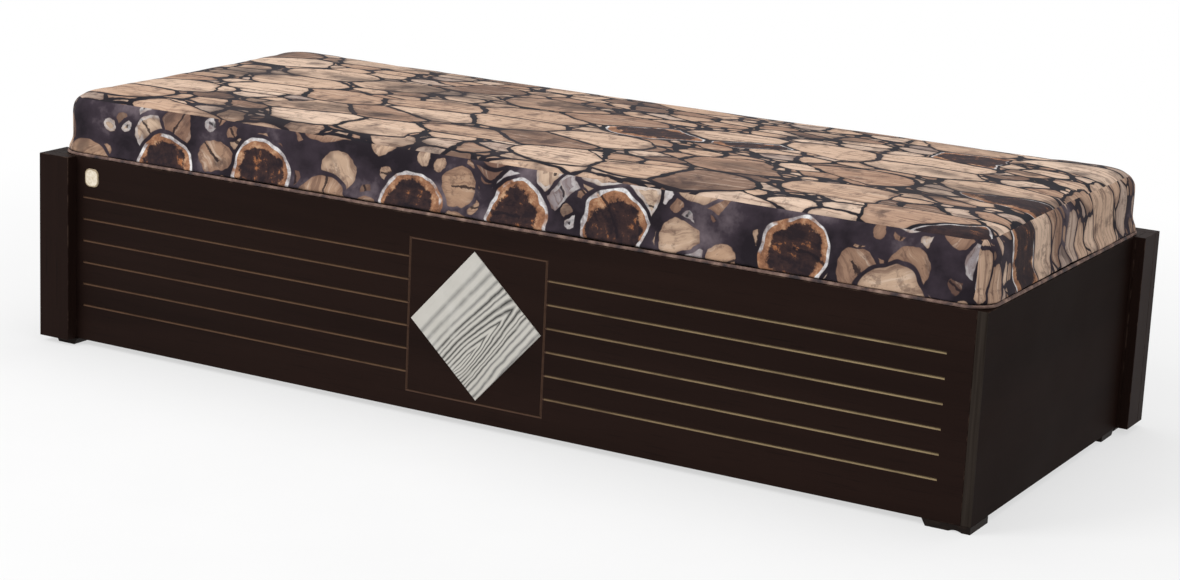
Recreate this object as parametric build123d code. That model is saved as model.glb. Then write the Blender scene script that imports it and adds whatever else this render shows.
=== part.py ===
"""Divan bed that pulls forward from a single to a double.

Two three-sided boxes of 18 mm laminated board are nested, and one is the other turned by half a turn.
The fixed box holds the back panel, the left end panel, a post at the rear right corner and an inner panel
along the right end. The sliding box holds the grooved front panel, the right end panel, a post at the
front left corner and an inner panel along the left end. Each box carries half of the slats, which mesh
like two combs, so the sliding box can be pulled forward while the slats still bridge the middle.

Millimetres. +X runs along the bed from the left end to the right end as seen from the front, +Y runs to the
back, +Z is up. The origin is on the floor under the middle of the bed.
"""

from build123d import *
import math
import os

# Overall sizes of the sleeping surface and of the box below it
mattress_length = 1905.0
mattress_depth = 762.0
mattress_side = 119.0
mattress_crown = 8.0
panel_height = 360.0
foot_height = 12.0

# Boards, posts and the gaps that let the two boxes run in each other
board = 18.0
post_width = 70.0
post_depth = 80.0
post_outward = 22.0
post_proud = 25.0
nest_gap = 3.0
butt_gap = 2.0
end_gap = 5.0
board_edge = 0.8

# Slats and the timbers that carry them
slat_count = 20
slat_gap = 4.0
slat_thickness = 15.0
slat_edge = 1.5
timber = 30.0
cleat_height = 45.0
bearer_height = 60.0
bearer_gap = 5.0
notch_depth = 3.0
notch_clearance = 3.0
comb_clearance = 2.5
slat_overhang = 2.0
slide_gap = 0.5
runner = 20.0
batten_bottom_gap = 8.0
batten_top_gap = 6.0
leg_width = 60.0
leg_offset = 60.0

# Pulled out, the two bearers stop this far apart, with rubber buffers between them
stop_gap = 6.0
buffer_radius = 10.0
buffer_thickness = 5.0
buffer_place = 600.0

# Front decoration: grooves, a square frame and a diamond inlay
groove_count = 6
groove_pitch = 42.6
groove_margin = 64.5
groove_width = 5.0
groove_depth = 3.0
frame_size = 282.0
frame_below_middle = 4.0
inlay_diagonal = 270.0
inlay_turn = 2.6
inlay_thickness = 4.0
inlay_proud = 1.5
inlay_fit = 0.3
inlay_edge = 0.8
badge_width = 32.0
badge_height = 35.0
badge_corner = 11.0
badge_thickness = 2.5
badge_edge = 0.9
badge_from_post = 38.5
badge_from_top = 38.0

# Feet
corner_foot_front = 86.0
corner_foot_side = 77.0
corner_foot_band = 20.0
foot_slope = 7.0
arch_radius = 24.0
arch_rise = 3.0
arch_from_corner = 26.5
post_foot_width = 52.0
post_foot_depth = 46.0
post_foot_inward = 14.5
post_foot_set_back = 20.0
glide_taper = 10.0
glide_length = 60.0
glide_width = 16.0
glide_inset = 8.0

# Fixings: wide staples hold the slats, and cams with their bolts draw the corners together
staple_crown = 14.0
staple_wire = 1.6
staple_leg = 38.0
staple_sink = 0.4
staple_fit = 0.1
cam_radius = 7.5
cam_depth = 12.5
cam_fit = 0.1
cam_from_end = 34.0
cam_margin = 75.0
cam_cross = 8.0
cam_cross_width = 2.0
cam_cross_depth = 3.0
bolt_radius = 3.0
bolt_thread_length = 11.0

# Mattress form
mattress_corner = 45.0
mattress_pull_in = 5.0
mattress_shoulder = 30.0
mattress_foot_edge = 9.0
mattress_crown_flat = 81.0
mattress_rest_gap = 0.3

# Places that follow from the sizes above
half_length = mattress_length / 2
half_depth = mattress_depth / 2
end_inside = half_length - board
inner_outside = end_inside - nest_gap
inner_inside = inner_outside - board
long_inside = half_depth - board
groove_reach = half_length - groove_margin
frame_rise = panel_height / 2 - frame_below_middle
post_outside = half_length + post_outward
post_front = half_depth + post_proud
post_back = post_front - post_depth
panel_bottom = foot_height
panel_top = panel_bottom + panel_height
slat_bottom = panel_top - slat_thickness
bearer_bottom = slat_bottom - bearer_height
runner_bottom = bearer_bottom - slide_gap - runner
cleat_inside = long_inside - timber
bearer_far = cleat_inside - bearer_gap
bearer_near = bearer_far - timber
comb_half = inner_inside - comb_clearance
slat_pitch = 2 * comb_half / slat_count
slat_width = slat_pitch - slat_gap
slat_end = bearer_far + slat_overhang
travel = 2 * bearer_near - stop_gap
mattress_crown_reach = half_depth - mattress_shoulder - mattress_crown_flat


def block(low, high):
    """A plain block between two opposite corners."""
    size = [b - a for a, b in zip(low, high)]
    middle = [(a + b) / 2 for a, b in zip(low, high)]
    return Pos(*middle) * Box(*size)


def edged_board(low, high, edge=board_edge):
    """A board whose edges are eased by a small chamfer."""
    shape = block(low, high)
    return chamfer(shape.edges(), edge)


def half_turn(shape):
    """The same piece on the other box: turned by half a turn about the bed's middle."""
    return Rot(0, 0, 180) * shape


def cylinder_along(axis, radius, start, length):
    """A round bar or bore that starts at a point and runs along +X, +Y, +Z or back along one of them."""
    plane = Plane(origin=start, z_dir=axis)
    return extrude(plane * Circle(radius), amount=length)


def groove_heights():
    """The grooves are spread evenly about the middle of the square frame."""
    middle = (groove_count - 1) / 2
    return [panel_bottom + frame_rise + (n - middle) * groove_pitch for n in range(groove_count)]


def groove_cutter(x_from, x_to, height):
    """A V-shaped groove along X in the front face, as one long three-sided bar."""
    over = 1.0
    reach = groove_width / 2 * (1 + over / groove_depth)
    section = Plane.YZ * Polygon((-over, -reach), (groove_depth, 0), (-over, reach), align=None)
    return Pos(x_from, -half_depth, height) * extrude(section, amount=x_to - x_from)


def frame_cutter():
    """A square V-shaped groove with mitred corners: a tapered plug less the tapered island inside it."""
    angle = math.degrees(math.atan(groove_width / 2 / groove_depth))
    face = Plane(origin=(0, -half_depth, panel_bottom + frame_rise), x_dir=(1, 0, 0), z_dir=(0, 1, 0))
    wide = frame_size + groove_width
    narrow = frame_size - groove_width
    plug = extrude(face * Rectangle(wide, wide), amount=groove_depth, taper=angle)
    island = extrude(face * Rectangle(narrow, narrow), amount=groove_depth, taper=-angle)
    return plug - island


def diamond(diagonal, y_front, y_back):
    """A square plate that stands on its corner in the square frame, laid a little askew."""
    side = diagonal / math.sqrt(2)
    face = Plane(origin=(0, y_front, panel_bottom + frame_rise), x_dir=(1, 0, 0), z_dir=(0, 1, 0))
    return extrude(face * Rot(0, 0, 45 - inlay_turn) * Rectangle(side, side), amount=y_back - y_front)


def cam_points():
    """Where the cams of a long panel sit: near its end, on its inner face, one low and one high."""
    heights = (panel_bottom + cam_margin, panel_top - cam_margin)
    return [(end_inside - cam_from_end, -long_inside, z) for z in heights]


def long_panel():
    """A long panel with the bores for its cams and bolts."""
    shape = edged_board((-inner_inside, -half_depth, panel_bottom), (end_inside, -long_inside, panel_top))
    for x, y, z in cam_points():
        shape -= cylinder_along((0, -1, 0), cam_radius + cam_fit, (x, y, z), cam_depth + cam_fit)
        start = (end_inside, y - board / 2, z)
        shape -= cylinder_along((-1, 0, 0), bolt_radius + cam_fit, start, cam_from_end)
    return shape


def front_panel():
    """The long panel of the sliding box, with its grooves and the recess of its inlay."""
    shape = long_panel()
    line = frame_size / 2
    cutters = []
    for height in groove_heights():
        cutters.append(groove_cutter(-groove_reach, -line, height))
        cutters.append(groove_cutter(line, groove_reach, height))
    cutters.append(frame_cutter())
    recess_floor = -half_depth + inlay_thickness - inlay_proud
    cutters.append(diamond(inlay_diagonal + 2 * inlay_fit, -half_depth - 1, recess_floor))
    return shape - cutters


def diamond_inlay():
    """The pale plate in the recess, with eased edges on its face."""
    front = -half_depth - inlay_proud
    shape = diamond(inlay_diagonal, front, front + inlay_thickness)
    return chamfer(shape.faces().sort_by(Axis.Y)[0].edges(), inlay_edge)


def badge():
    """A small blank badge with a cushioned edge, near the post on the front panel."""
    x = post_width - post_outside + badge_from_post
    face = Plane(origin=(x, -half_depth, panel_top - badge_from_top), x_dir=(1, 0, 0), z_dir=(0, -1, 0))
    outline = RectangleRounded(badge_width, badge_height, badge_corner)
    shape = extrude(face * outline, amount=badge_thickness)
    return chamfer(shape.faces().sort_by(Axis.Y)[0].edges(), badge_edge)


def outer_end_panel():
    """The end panel that shows. Its front edge shows too, and its far edge meets the other box's post."""
    high = (half_length, post_back - butt_gap, panel_top)
    shape = edged_board((end_inside, -half_depth, panel_bottom), high)
    for x, y, z in cam_points():
        start = (end_inside, y - board / 2, z)
        shape -= cylinder_along((1, 0, 0), bolt_radius + cam_fit, start, bolt_thread_length + cam_fit)
    return shape


def inner_end_panel():
    """The hidden end panel, which runs inside the other box's outer end panel."""
    high = (-inner_inside, long_inside - end_gap, panel_top)
    return edged_board((-inner_outside, -half_depth, panel_bottom), high)


def post_face():
    """The thick face board of the post, which laps over the ends of the inner panel and the long panel."""
    low = (-post_outside, -post_front, panel_bottom)
    high = (-post_outside + post_width, -half_depth, panel_top)
    return edged_board(low, high)


def post_return():
    """The side board of the post."""
    low = (-post_outside, -half_depth, panel_bottom)
    high = (-post_outside + board, -post_back, panel_top)
    return edged_board(low, high)


def post_core():
    """The block between the side board and the inner panel."""
    low = (-post_outside + board, -half_depth, panel_bottom)
    return block(low, (-inner_outside, -post_back, panel_top))


def corner_batten():
    """The upright batten that ties the long panel to the inner end panel."""
    low = (-inner_inside, -long_inside, panel_bottom + batten_bottom_gap)
    return block(low, (-inner_inside + timber, -cleat_inside, runner_bottom - batten_top_gap))


def slat_centre(number):
    return -comb_half + slat_pitch * (number + 0.5)


def staple_points(number):
    """The two staples of a slat: one over the cleat and one over the bearer."""
    x = slat_centre(number)
    return [(x, -cleat_inside - timber / 2), (x, bearer_near + timber / 2)]


def own_slats():
    return range(0, slat_count, 2)


def staple(place_x, place_y, fit=0.0):
    """A staple driven just below the slats' top, or with a fit the slot that it makes."""
    half = staple_crown / 2 + fit
    hole = staple_crown / 2 - staple_wire - fit
    top = panel_top - staple_sink + (1 if fit else 0)
    under = panel_top - staple_sink - staple_wire - fit
    tip = panel_top - staple_sink - staple_leg - fit
    left_leg = [(-half, top), (-half, tip), (-hole, tip), (-hole, under)]
    outline = left_leg + [(-x, z) for x, z in reversed(left_leg)]
    wide = staple_wire + 2 * fit
    section = Plane.XZ * Polygon(*outline, align=None)
    return Pos(place_x, place_y + wide / 2, 0) * extrude(section, amount=wide)


def staple_slots(row):
    """The slots of one row of staples, in a slat, a cleat or a bearer."""
    return [staple(*staple_points(number)[row], staple_fit) for number in own_slats()]


def cleat():
    """The timber along the long panel that carries the near ends of the slats."""
    low = (-inner_inside, -long_inside, slat_bottom - cleat_height)
    return block(low, (comb_half, -cleat_inside, slat_bottom)) - staple_slots(0)


def bearer():
    """The timber across the far side, with a notch wherever a slat of the other box runs over it."""
    shape = block((-inner_inside, bearer_near, bearer_bottom), (comb_half, bearer_far, slat_bottom))
    half_notch = slat_width / 2 + notch_clearance
    notches = []
    for number in own_slats():
        x = slat_centre(number + 1)
        right = comb_half + 1 if number + 2 == slat_count else x + half_notch
        low = (x - half_notch, bearer_near - 1, slat_bottom - notch_depth)
        notches.append(block(low, (right, bearer_far + 1, slat_bottom + 1)))
    return shape - notches - staple_slots(1)


def runner_rail():
    """The ledge on the inner end panel that the other box's bearer rests and slides on."""
    low = (-inner_inside, -long_inside, runner_bottom)
    return block(low, (-inner_inside + runner, bearer_far, runner_bottom + runner))


def centre_leg():
    """The leg under the middle of the bearer."""
    x = -leg_offset
    low = (x - leg_width / 2, bearer_near, foot_height)
    return edged_board(low, (x + leg_width / 2, bearer_far, bearer_bottom))


def slat(number):
    """One slat, eased on top, with a slot for the staple at each end."""
    x = slat_centre(number)
    shape = block((x - slat_width / 2, -long_inside, slat_bottom), (x + slat_width / 2, slat_end, panel_top))
    long_edges = shape.faces().sort_by(Axis.Z)[-1].edges().filter_by(Axis.Y)
    shape = chamfer(long_edges, slat_edge)
    return shape - [staple(*point, staple_fit) for point in staple_points(number)]


def slat_staples():
    """All staples of one box's slats."""
    return Compound(children=[staple(*point) for number in own_slats() for point in staple_points(number)])


def cam_locks():
    """The round cams that draw the long panel against the outer end panel, each with a slot for its bolt."""
    cams = []
    arm = cam_cross / 2
    bar = cam_cross_width / 2
    for x, y, z in cam_points():
        cam = cylinder_along((0, -1, 0), cam_radius, (x, y, z), cam_depth)
        middle = y - board / 2
        half_slot = bolt_radius + cam_fit
        low = (x, middle - half_slot, z - half_slot)
        cam -= block(low, (x + cam_radius + 1, middle + half_slot, z + half_slot))
        cam -= block((x - arm, y - cam_cross_depth, z - bar), (x + arm, y + 1, z + bar))
        cam -= block((x - bar, y - cam_cross_depth, z - arm), (x + bar, y + 1, z + arm))
        cams.append(cam)
    return Compound(children=cams)


def cam_bolts():
    """The bolts from the outer end panel into the cams."""
    bolts = []
    for x, y, z in cam_points():
        start = (end_inside + bolt_thread_length, y - board / 2, z)
        length = bolt_thread_length + cam_from_end - cam_fit
        bolts.append(cylinder_along((-1, 0, 0), bolt_radius, start, length))
    return Compound(children=bolts)


def corner_foot():
    """The moulded foot round the corner of the box, with a sloped end and a small arch."""
    x = half_length
    y = -half_depth
    profile = Polygon(
        (x - corner_foot_front, foot_height),
        (x - corner_foot_front + foot_slope, 0),
        (x, 0),
        (x, foot_height),
        align=None,
    )
    wall = Plane(origin=(0, y + corner_foot_band, 0), x_dir=(1, 0, 0), z_dir=(0, -1, 0))
    front_arm = extrude(wall * profile, amount=corner_foot_band)
    side_arm = block((x - corner_foot_band, y, 0), (x, y + corner_foot_side, foot_height))
    arch_start = (x - arch_from_corner, y - 1, arch_rise - arch_radius)
    return front_arm + side_arm - cylinder_along((0, 1, 0), arch_radius, arch_start, corner_foot_band + 2)


def glide(x, y, length, width):
    """A tapered plastic block below a board or post."""
    top = Plane(origin=(x, y, foot_height), x_dir=(1, 0, 0), z_dir=(0, 0, -1))
    return extrude(top * Rectangle(length, width), amount=foot_height, taper=glide_taper)


def post_foot():
    """The foot under the post and the end of the long panel, sloped at both ends."""
    x = -post_outside + post_width / 2 + post_foot_inward
    wide = post_foot_width / 2
    narrow = wide - foot_slope
    profile = Polygon(
        (x - wide, foot_height), (x - narrow, 0), (x + narrow, 0), (x + wide, foot_height), align=None
    )
    back = -post_front + post_foot_set_back + post_foot_depth
    wall = Plane(origin=(0, back, 0), x_dir=(1, 0, 0), z_dir=(0, -1, 0))
    return extrude(wall * profile, amount=post_foot_depth)


def board_glides():
    """The glides below the free ends of both end panels and below the centre leg."""
    outer_y = post_back - butt_gap - glide_inset - glide_length / 2
    inner_y = long_inside - end_gap - glide_inset - glide_length / 2
    outer = glide(end_inside + board / 2, outer_y, glide_width, glide_length)
    inner = glide(-inner_inside - board / 2, inner_y, glide_width, glide_length)
    leg = glide(-leg_offset, (bearer_near + bearer_far) / 2, glide_length * 0.8, glide_width)
    return Compound(children=[outer, inner, leg])


def stop_buffers():
    """Two rubber discs on the fixed bearer, which the sliding bearer meets when the bed is pulled out."""
    z = (bearer_bottom + slat_bottom) / 2
    pads = []
    for side in (-1, 1):
        start = (side * buffer_place, -bearer_near, z)
        pads.append(cylinder_along((0, 1, 0), buffer_radius, start, buffer_thickness))
    return Compound(children=pads)


def pillow_outline(inset, height):
    """One level of the mattress: four slightly drawn-in sides joined by round corners."""
    a = half_length - inset
    b = half_depth - inset
    r = mattress_corner
    pull = mattress_pull_in
    s = r * math.sqrt(0.5)
    left = ThreePointArc((-a, b - r), (-a + pull, 0), (-a, r - b))
    front = ThreePointArc((r - a, -b), (0, pull - b), (a - r, -b))
    right = ThreePointArc((a, r - b), (a - pull, 0), (a, b - r))
    back = ThreePointArc((a - r, b), (0, b - pull), (r - a, b))
    corners = []
    for sx, sy in ((-1, -1), (1, -1), (1, 1), (-1, 1)):
        corner_x = sx * (a - r)
        corner_y = sy * (b - r)
        first = (sx * a, corner_y)
        last = (corner_x, sy * b)
        corners.append(ThreePointArc(first, (corner_x + sx * s, corner_y + sy * s), last))
    wire = Wire([left, corners[0], front, corners[1], right, corners[2], back, corners[3]])
    return Pos(0, 0, height) * Face(wire)


def mattress_profile():
    """Inset and height of each level: a small edge, full sides, a round shoulder and a shallow crown."""
    edge = mattress_foot_edge
    shoulder = mattress_shoulder
    points = []
    for step in range(4):
        angle = math.radians(30 * step)
        points.append((edge * (1 - math.sin(angle)), edge * (1 - math.cos(angle))))
    for step in range(6):
        angle = math.radians(18 * step)
        points.append((shoulder * (1 - math.cos(angle)), mattress_side - shoulder * (1 - math.sin(angle))))
    for step in range(1, 4):
        share = step / 3
        rise = mattress_crown * math.sin(math.radians(90 * share))
        points.append((shoulder + mattress_crown_reach * share, mattress_side + rise))
    return points


def mattress():
    """The mattress, as bands between the levels of its profile."""
    bottom = panel_top + mattress_rest_gap
    levels = [pillow_outline(inset, bottom + height) for inset, height in mattress_profile()]
    return loft(levels, ruled=True)


def write(name, shape):
    export_step(shape, f"parts/{name}.step")


def write_box(prefix, turn):
    """Both boxes are made of the same pieces. The fixed one is the sliding one turned by half a turn."""
    pieces = {
        "end_panel": outer_end_panel(),
        "inner_panel": inner_end_panel(),
        "post_face": post_face(),
        "post_return": post_return(),
        "post_core": post_core(),
        "corner_batten": corner_batten(),
        "cleat": cleat(),
        "bearer": bearer(),
        "runner": runner_rail(),
        "centre_leg": centre_leg(),
        "slat_staples": slat_staples(),
        "cam_locks": cam_locks(),
        "cam_bolts": cam_bolts(),
        "corner_foot": corner_foot(),
        "post_glide": post_foot(),
        "board_glides": board_glides(),
    }
    for place, number in enumerate(own_slats(), start=1):
        pieces[f"slat_{place:02d}"] = slat(number)
    for name, shape in pieces.items():
        write(f"{prefix}_{name}", turn(shape))


def main():
    os.makedirs("parts", exist_ok=True)
    write_box("sliding", lambda shape: shape)
    write_box("fixed", half_turn)
    write("front_panel", front_panel())
    write("back_panel", half_turn(long_panel()))
    write("diamond_inlay", diamond_inlay())
    write("badge", badge())
    write("stop_buffers", stop_buffers())
    write("mattress", mattress())
    print("slat width", round(slat_width, 2), "travel", round(travel, 1))


main()
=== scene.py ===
# %% [markdown]
# # A divan bed with a printed mattress
#
# The packed model of the bed is the frame of this scene: every board, slat and foot is already in its place.
# What is left is what the eye sees first: the dark laminate with its pale grooves, the silver wood-grain
# diamond, and the soft printed mattress, which is remade here as a filled cover with piping.
#
# All lengths are in metres. +X runs along the bed, +Y to the back and +Z up.

# %% Load the frame
import math
import bpy
import bmesh
import numpy as np
from mathutils import Matrix, Vector, noise


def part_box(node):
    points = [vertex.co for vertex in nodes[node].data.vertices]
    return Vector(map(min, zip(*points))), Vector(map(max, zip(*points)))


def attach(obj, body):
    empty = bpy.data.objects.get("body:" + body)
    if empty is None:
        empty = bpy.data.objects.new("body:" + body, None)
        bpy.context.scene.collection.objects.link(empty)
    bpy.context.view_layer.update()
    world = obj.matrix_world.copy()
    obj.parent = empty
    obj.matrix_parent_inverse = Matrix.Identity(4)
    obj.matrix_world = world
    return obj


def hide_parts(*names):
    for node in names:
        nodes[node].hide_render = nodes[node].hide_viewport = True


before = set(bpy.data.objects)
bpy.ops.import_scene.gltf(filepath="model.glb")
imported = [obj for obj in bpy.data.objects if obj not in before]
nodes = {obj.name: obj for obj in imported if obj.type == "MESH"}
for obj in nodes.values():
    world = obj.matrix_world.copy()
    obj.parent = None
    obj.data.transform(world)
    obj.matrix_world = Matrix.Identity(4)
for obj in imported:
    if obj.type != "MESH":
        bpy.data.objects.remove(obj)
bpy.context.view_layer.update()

# %% [markdown]
# ## Colours as they are seen
#
# Colours are easiest to choose as they look on a screen, from 0 to 255. A renderer adds up light, so it wants
# them in linear form. One small function does the change, and the rest of the file writes screen values.

# %% Screen colour to light


def seen(red, green, blue):
    """A screen colour from 0 to 255, as linear light with full opacity."""
    out = []
    for value in (red, green, blue):
        share = value / 255
        out.append(share / 12.92 if share <= 0.04045 else ((share + 0.055) / 1.055) ** 2.4)
    return (*out, 1.0)


print("middle grey on a screen, as light:", round(seen(128, 128, 128)[0], 3))

# %% [markdown]
# ## Shader maths as plain expressions
#
# A material is a network of small nodes. Writing one node per line hides the idea behind it, so a class wraps
# a socket, and arithmetic on it adds the Math nodes: `1 - mask` is one Subtract node. Everything else comes
# from one method that takes a node's type, its settings and its inputs.

# %% A wire


class Wire:
    """A value, vector or colour that comes out of a node. Arithmetic treats it as a value."""

    def __init__(self, paint, socket):
        self.paint = paint
        self.socket = socket

    def math(self, operation, *others):
        return self.paint.math(operation, self, *others)

    def __add__(self, other):
        return self.math("ADD", other)

    __radd__ = __add__

    def __sub__(self, other):
        return self.math("SUBTRACT", other)

    def __rsub__(self, other):
        return self.paint.math("SUBTRACT", other, self)

    def __mul__(self, other):
        return self.math("MULTIPLY", other)

    __rmul__ = __mul__

    def __truediv__(self, other):
        return self.math("DIVIDE", other)

    def __abs__(self):
        return self.math("ABSOLUTE")

    def least(self, other):
        return self.math("MINIMUM", other)

    def most(self, other):
        return self.math("MAXIMUM", other)

    def above(self, edge):
        return self.math("GREATER_THAN", edge)

    def below(self, edge):
        return self.math("LESS_THAN", edge)


print("a wire knows", sum(not name.startswith("_") for name in vars(Wire)), "comparisons and functions")

# %% A paint box


class Paint:
    """The node tree of one material or of the world, with the few nodes that its recipe needs."""

    def __init__(self, owner):
        owner.use_nodes = True
        self.owner = owner
        self.tree = owner.node_tree
        self.shader = self.tree.nodes.get("Principled BSDF")

    def node(self, kind, settings=None, inputs=None):
        """Adds a node. Its settings are made first, because they can change its sockets."""
        made = self.tree.nodes.new(kind)
        for key, value in (settings or {}).items():
            if key == "stops":
                ramp = made.color_ramp
                while len(ramp.elements) < len(value):
                    ramp.elements.new(0.5)
                for element, (place, colour) in zip(ramp.elements, value):
                    element.position = place
                    element.color = colour
            else:
                setattr(made, key, value)
        for key, value in (inputs or {}).items():
            self.feed(made.inputs[key], value)
        return made

    def feed(self, socket, value):
        if isinstance(value, Wire):
            self.tree.links.new(value.socket, socket)
        else:
            socket.default_value = value

    def out(self, made, name=0):
        return Wire(self, made.outputs[name])

    def math(self, operation, *values):
        made = self.node("ShaderNodeMath", {"operation": operation}, dict(enumerate(values)))
        return self.out(made)

    def vector_math(self, operation, inputs):
        return self.out(self.node("ShaderNodeVectorMath", {"operation": operation}, inputs))

    def place(self):
        """The point on the object, in the bed's own frame. A piece that slides takes its pattern along."""
        return self.out(self.node("ShaderNodeTexCoord"), "Object")

    def split(self, vector):
        made = self.node("ShaderNodeSeparateXYZ", {}, {0: vector})
        return [self.out(made, i) for i in range(3)]

    def normal(self):
        """The way the surface faces, as three values."""
        return self.split(self.out(self.node("ShaderNodeNewGeometry"), "Normal"))

    def join(self, x, y, z):
        return self.out(self.node("ShaderNodeCombineXYZ", {}, {0: x, 1: y, 2: z}))

    def noise(self, vector, scale, detail=3.0, roughness=0.55, output="Fac"):
        inputs = {"Vector": vector, "Scale": scale, "Detail": detail, "Roughness": roughness}
        return self.out(self.node("ShaderNodeTexNoise", {}, inputs), output)

    def ramp(self, value, *stops):
        return self.out(self.node("ShaderNodeValToRGB", {"stops": stops}, {0: value}))

    def fade(self, value, low, high):
        """0 below low, 1 above high, and smooth between them. low may be the larger one."""
        settings = {"interpolation_type": "SMOOTHSTEP"}
        inputs = {"Value": value, "From Min": low, "From Max": high}
        return self.out(self.node("ShaderNodeMapRange", settings, inputs))

    def blend(self, mask, first, second, kind="RGBA"):
        """First where the mask is 0, second where it is 1. Each kind of Mix has sockets of its own."""
        place = {"FLOAT": 2, "VECTOR": 4, "RGBA": 6}[kind]
        inputs = {0: mask, place: first, place + 1: second}
        return self.out(self.node("ShaderNodeMix", {"data_type": kind}, inputs), place // 2 - 1)

    def shift(self, vector, by, amount):
        """Moves a vector by another one, centred on a half, times an amount."""
        centred = self.vector_math("SUBTRACT", {0: by, 1: (0.5, 0.5, 0.5)})
        scaled = self.vector_math("SCALE", {0: centred, "Scale": amount})
        return self.vector_math("ADD", {0: vector, 1: scaled})

    def finish(self, colour, roughness, bump=None, strength=0.2, distance=0.0005, **fixed):
        """Feeds the shader. Fixed values go straight to the sockets of their names."""
        self.feed(self.shader.inputs["Base Color"], colour)
        self.feed(self.shader.inputs["Roughness"], roughness)
        for name, value in fixed.items():
            self.shader.inputs[name.replace("_", " ")].default_value = value
        if bump is not None:
            inputs = {"Strength": strength, "Distance": distance, "Height": bump}
            self.feed(self.shader.inputs["Normal"], self.out(self.node("ShaderNodeBump", {}, inputs)))
        return self.owner


def new_paint(name):
    return Paint(bpy.data.materials.new(name))


print("paint box with", sum(not name.startswith("_") for name in vars(Paint)), "tools")

# %% [markdown]
# ## Dark laminate
#
# The boards are particle board under a printed espresso-brown wood-grain foil. The foil is almost even in
# colour: long thin pores and broad soft bands run along the board. Stretching noise along one axis gives both,
# and the same pores give a faint bump. Along the board's edges, where hands and brooms rub, the foil is a
# little lighter in short broken runs. A point near an edge is close to two faces of the board's box at once,
# so the middle one of the three distances to those faces finds the edges.

# %% Laminate recipe
front_face = -0.381
panel_low = 0.012
panel_high = 0.372
frame_middle = panel_low + 0.176
print("panel", panel_low, "to", panel_high, "m, middle of the square frame", frame_middle)


def stretched(paint, axis, along, across):
    """The object's place, scaled so that noise becomes long streaks along one axis."""
    x, y, z = paint.split(paint.place())
    scales = {name: along if name == axis else across for name in "xyz"}
    return paint.join(x * scales["x"], y * scales["y"], z * scales["z"])


def edge_distance(paint, node):
    """How far a point on a board is from the nearest edge of the board's box, by the middle of three gaps."""
    low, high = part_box(node)
    gaps = []
    for value, a, b in zip(paint.split(paint.place()), low, high):
        gaps.append((b - a) / 2 - abs(value - (a + b) / 2))
    first, second, third = gaps
    return first.least(second).most(first.most(second).least(third))


def laminate_base(paint, axis, node):
    """The colour of the foil with its grain along an axis, and the mask of its pores."""
    bands = paint.noise(stretched(paint, axis, 0.6, 9.0), 1.0, 4.0)
    pores = paint.noise(stretched(paint, axis, 9.0, 420.0), 1.0, 3.0, 0.6)
    colour = paint.ramp(bands, (0.3, seen(25, 15, 12)), (0.7, seen(37, 24, 20)))
    pore_mask = paint.fade(pores, 0.56, 0.70)
    colour = paint.blend(pore_mask * 0.5, colour, seen(15, 9, 8))
    rubbed = paint.noise(paint.place(), 45.0, 3.0)
    near_edge = paint.fade(edge_distance(paint, node), 0.0016, 0.0004)
    worn = near_edge * paint.fade(rubbed, 0.46, 0.62)
    return paint.blend(worn * 0.6, colour, seen(84, 66, 56)), pore_mask


def laminate_finish(paint, colour, pores, extra=0.0, shine=0.04):
    """Half-matt foil, with finger smudges in its roughness and pores as a fine bump."""
    smudge = paint.noise(paint.place(), 5.0, 3.0)
    roughness = 0.48 + smudge * 0.16 + extra
    return paint.finish(colour, roughness, 1 - pores, 0.25, 0.0002, Specular_IOR_Level=shine)


def laminate(node, axis):
    paint = new_paint("laminate_" + node)
    colour, pores = laminate_base(paint, axis, node)
    return laminate_finish(paint, colour, pores)


# %% [markdown]
# ## The grooved front
#
# The grooves are real V-shaped cuts in the front panel. The cutter goes through the foil, so their walls show
# paler board with a thin brown stain. They could be lines in the colour alone, but then they would slide over
# the cuts when a size changes. So a mask finds them by depth: whatever lies behind the front face, away from
# the panel's edges and from the diamond's recess, is groove. The wall of a groove that faces down gets painted
# shade, and the grooves are painted lighter from left to right as painted light from the lamps, so each groove
# reads as one fine line.

# %% Front panel material
inlay_half = 0.1375  # from the diamond's middle to a tip
frame_half = 0.1455  # from the square's middle to the outside of its grooves
groove_reach = 0.8945  # the far ends of the long grooves
groove_depth = 0.005
edge_margin = 0.02


def front_panel_material():
    paint = new_paint("laminate_grooved_front")
    colour, pores = laminate_base(paint, "x", "front_panel")
    x, y, z = paint.split(paint.place())
    behind = paint.fade(y, front_face + 0.0002, front_face + 0.0006)
    inside = abs(x).below(groove_reach) * z.above(panel_low + edge_margin) * z.below(panel_high - edge_margin)
    rise = abs(z - frame_middle)
    slanting = (abs(x) + rise).below(inlay_half + 0.006)
    diamond = slanting * abs(x).below(inlay_half) * rise.below(inlay_half)
    groove = behind * inside * (1 - diamond) * y.below(front_face + groove_depth)
    wear = paint.noise(paint.join(x * 14.0, 0.0, z * 90.0), 1.0, 4.0)
    # painted light: the groove colour runs from darker at the left to lighter at the right, where the walls
    # catch the lamps
    groove_colour_and_light = paint.ramp(paint.fade(x, -0.9, 0.9), (0.0, seen(98, 74, 58)), (0.45, seen(112, 88, 68)),
                     (1.0, seen(166, 146, 112)))
    groove_colour_and_light = paint.blend(abs(x).below(frame_half), groove_colour_and_light, seen(92, 70, 58))
    groove_colour_and_light = paint.blend(paint.fade(wear, 0.45, 0.75) * 0.6, groove_colour_and_light, seen(66, 48, 40))
    # painted shade: groove walls that face down are darkened
    upper_wall_shade = paint.fade(paint.normal()[2], -0.05, -0.3)
    groove_colour_and_light = paint.blend(upper_wall_shade * 0.75, groove_colour_and_light, seen(40, 28, 23))
    colour = paint.blend(groove, colour, groove_colour_and_light)
    return laminate_finish(paint, colour, pores, groove * 0.25)


print("square", round(2 * frame_half, 3), "m wide, inlay", round(2 * inlay_half, 3), "m from tip to tip")
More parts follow.
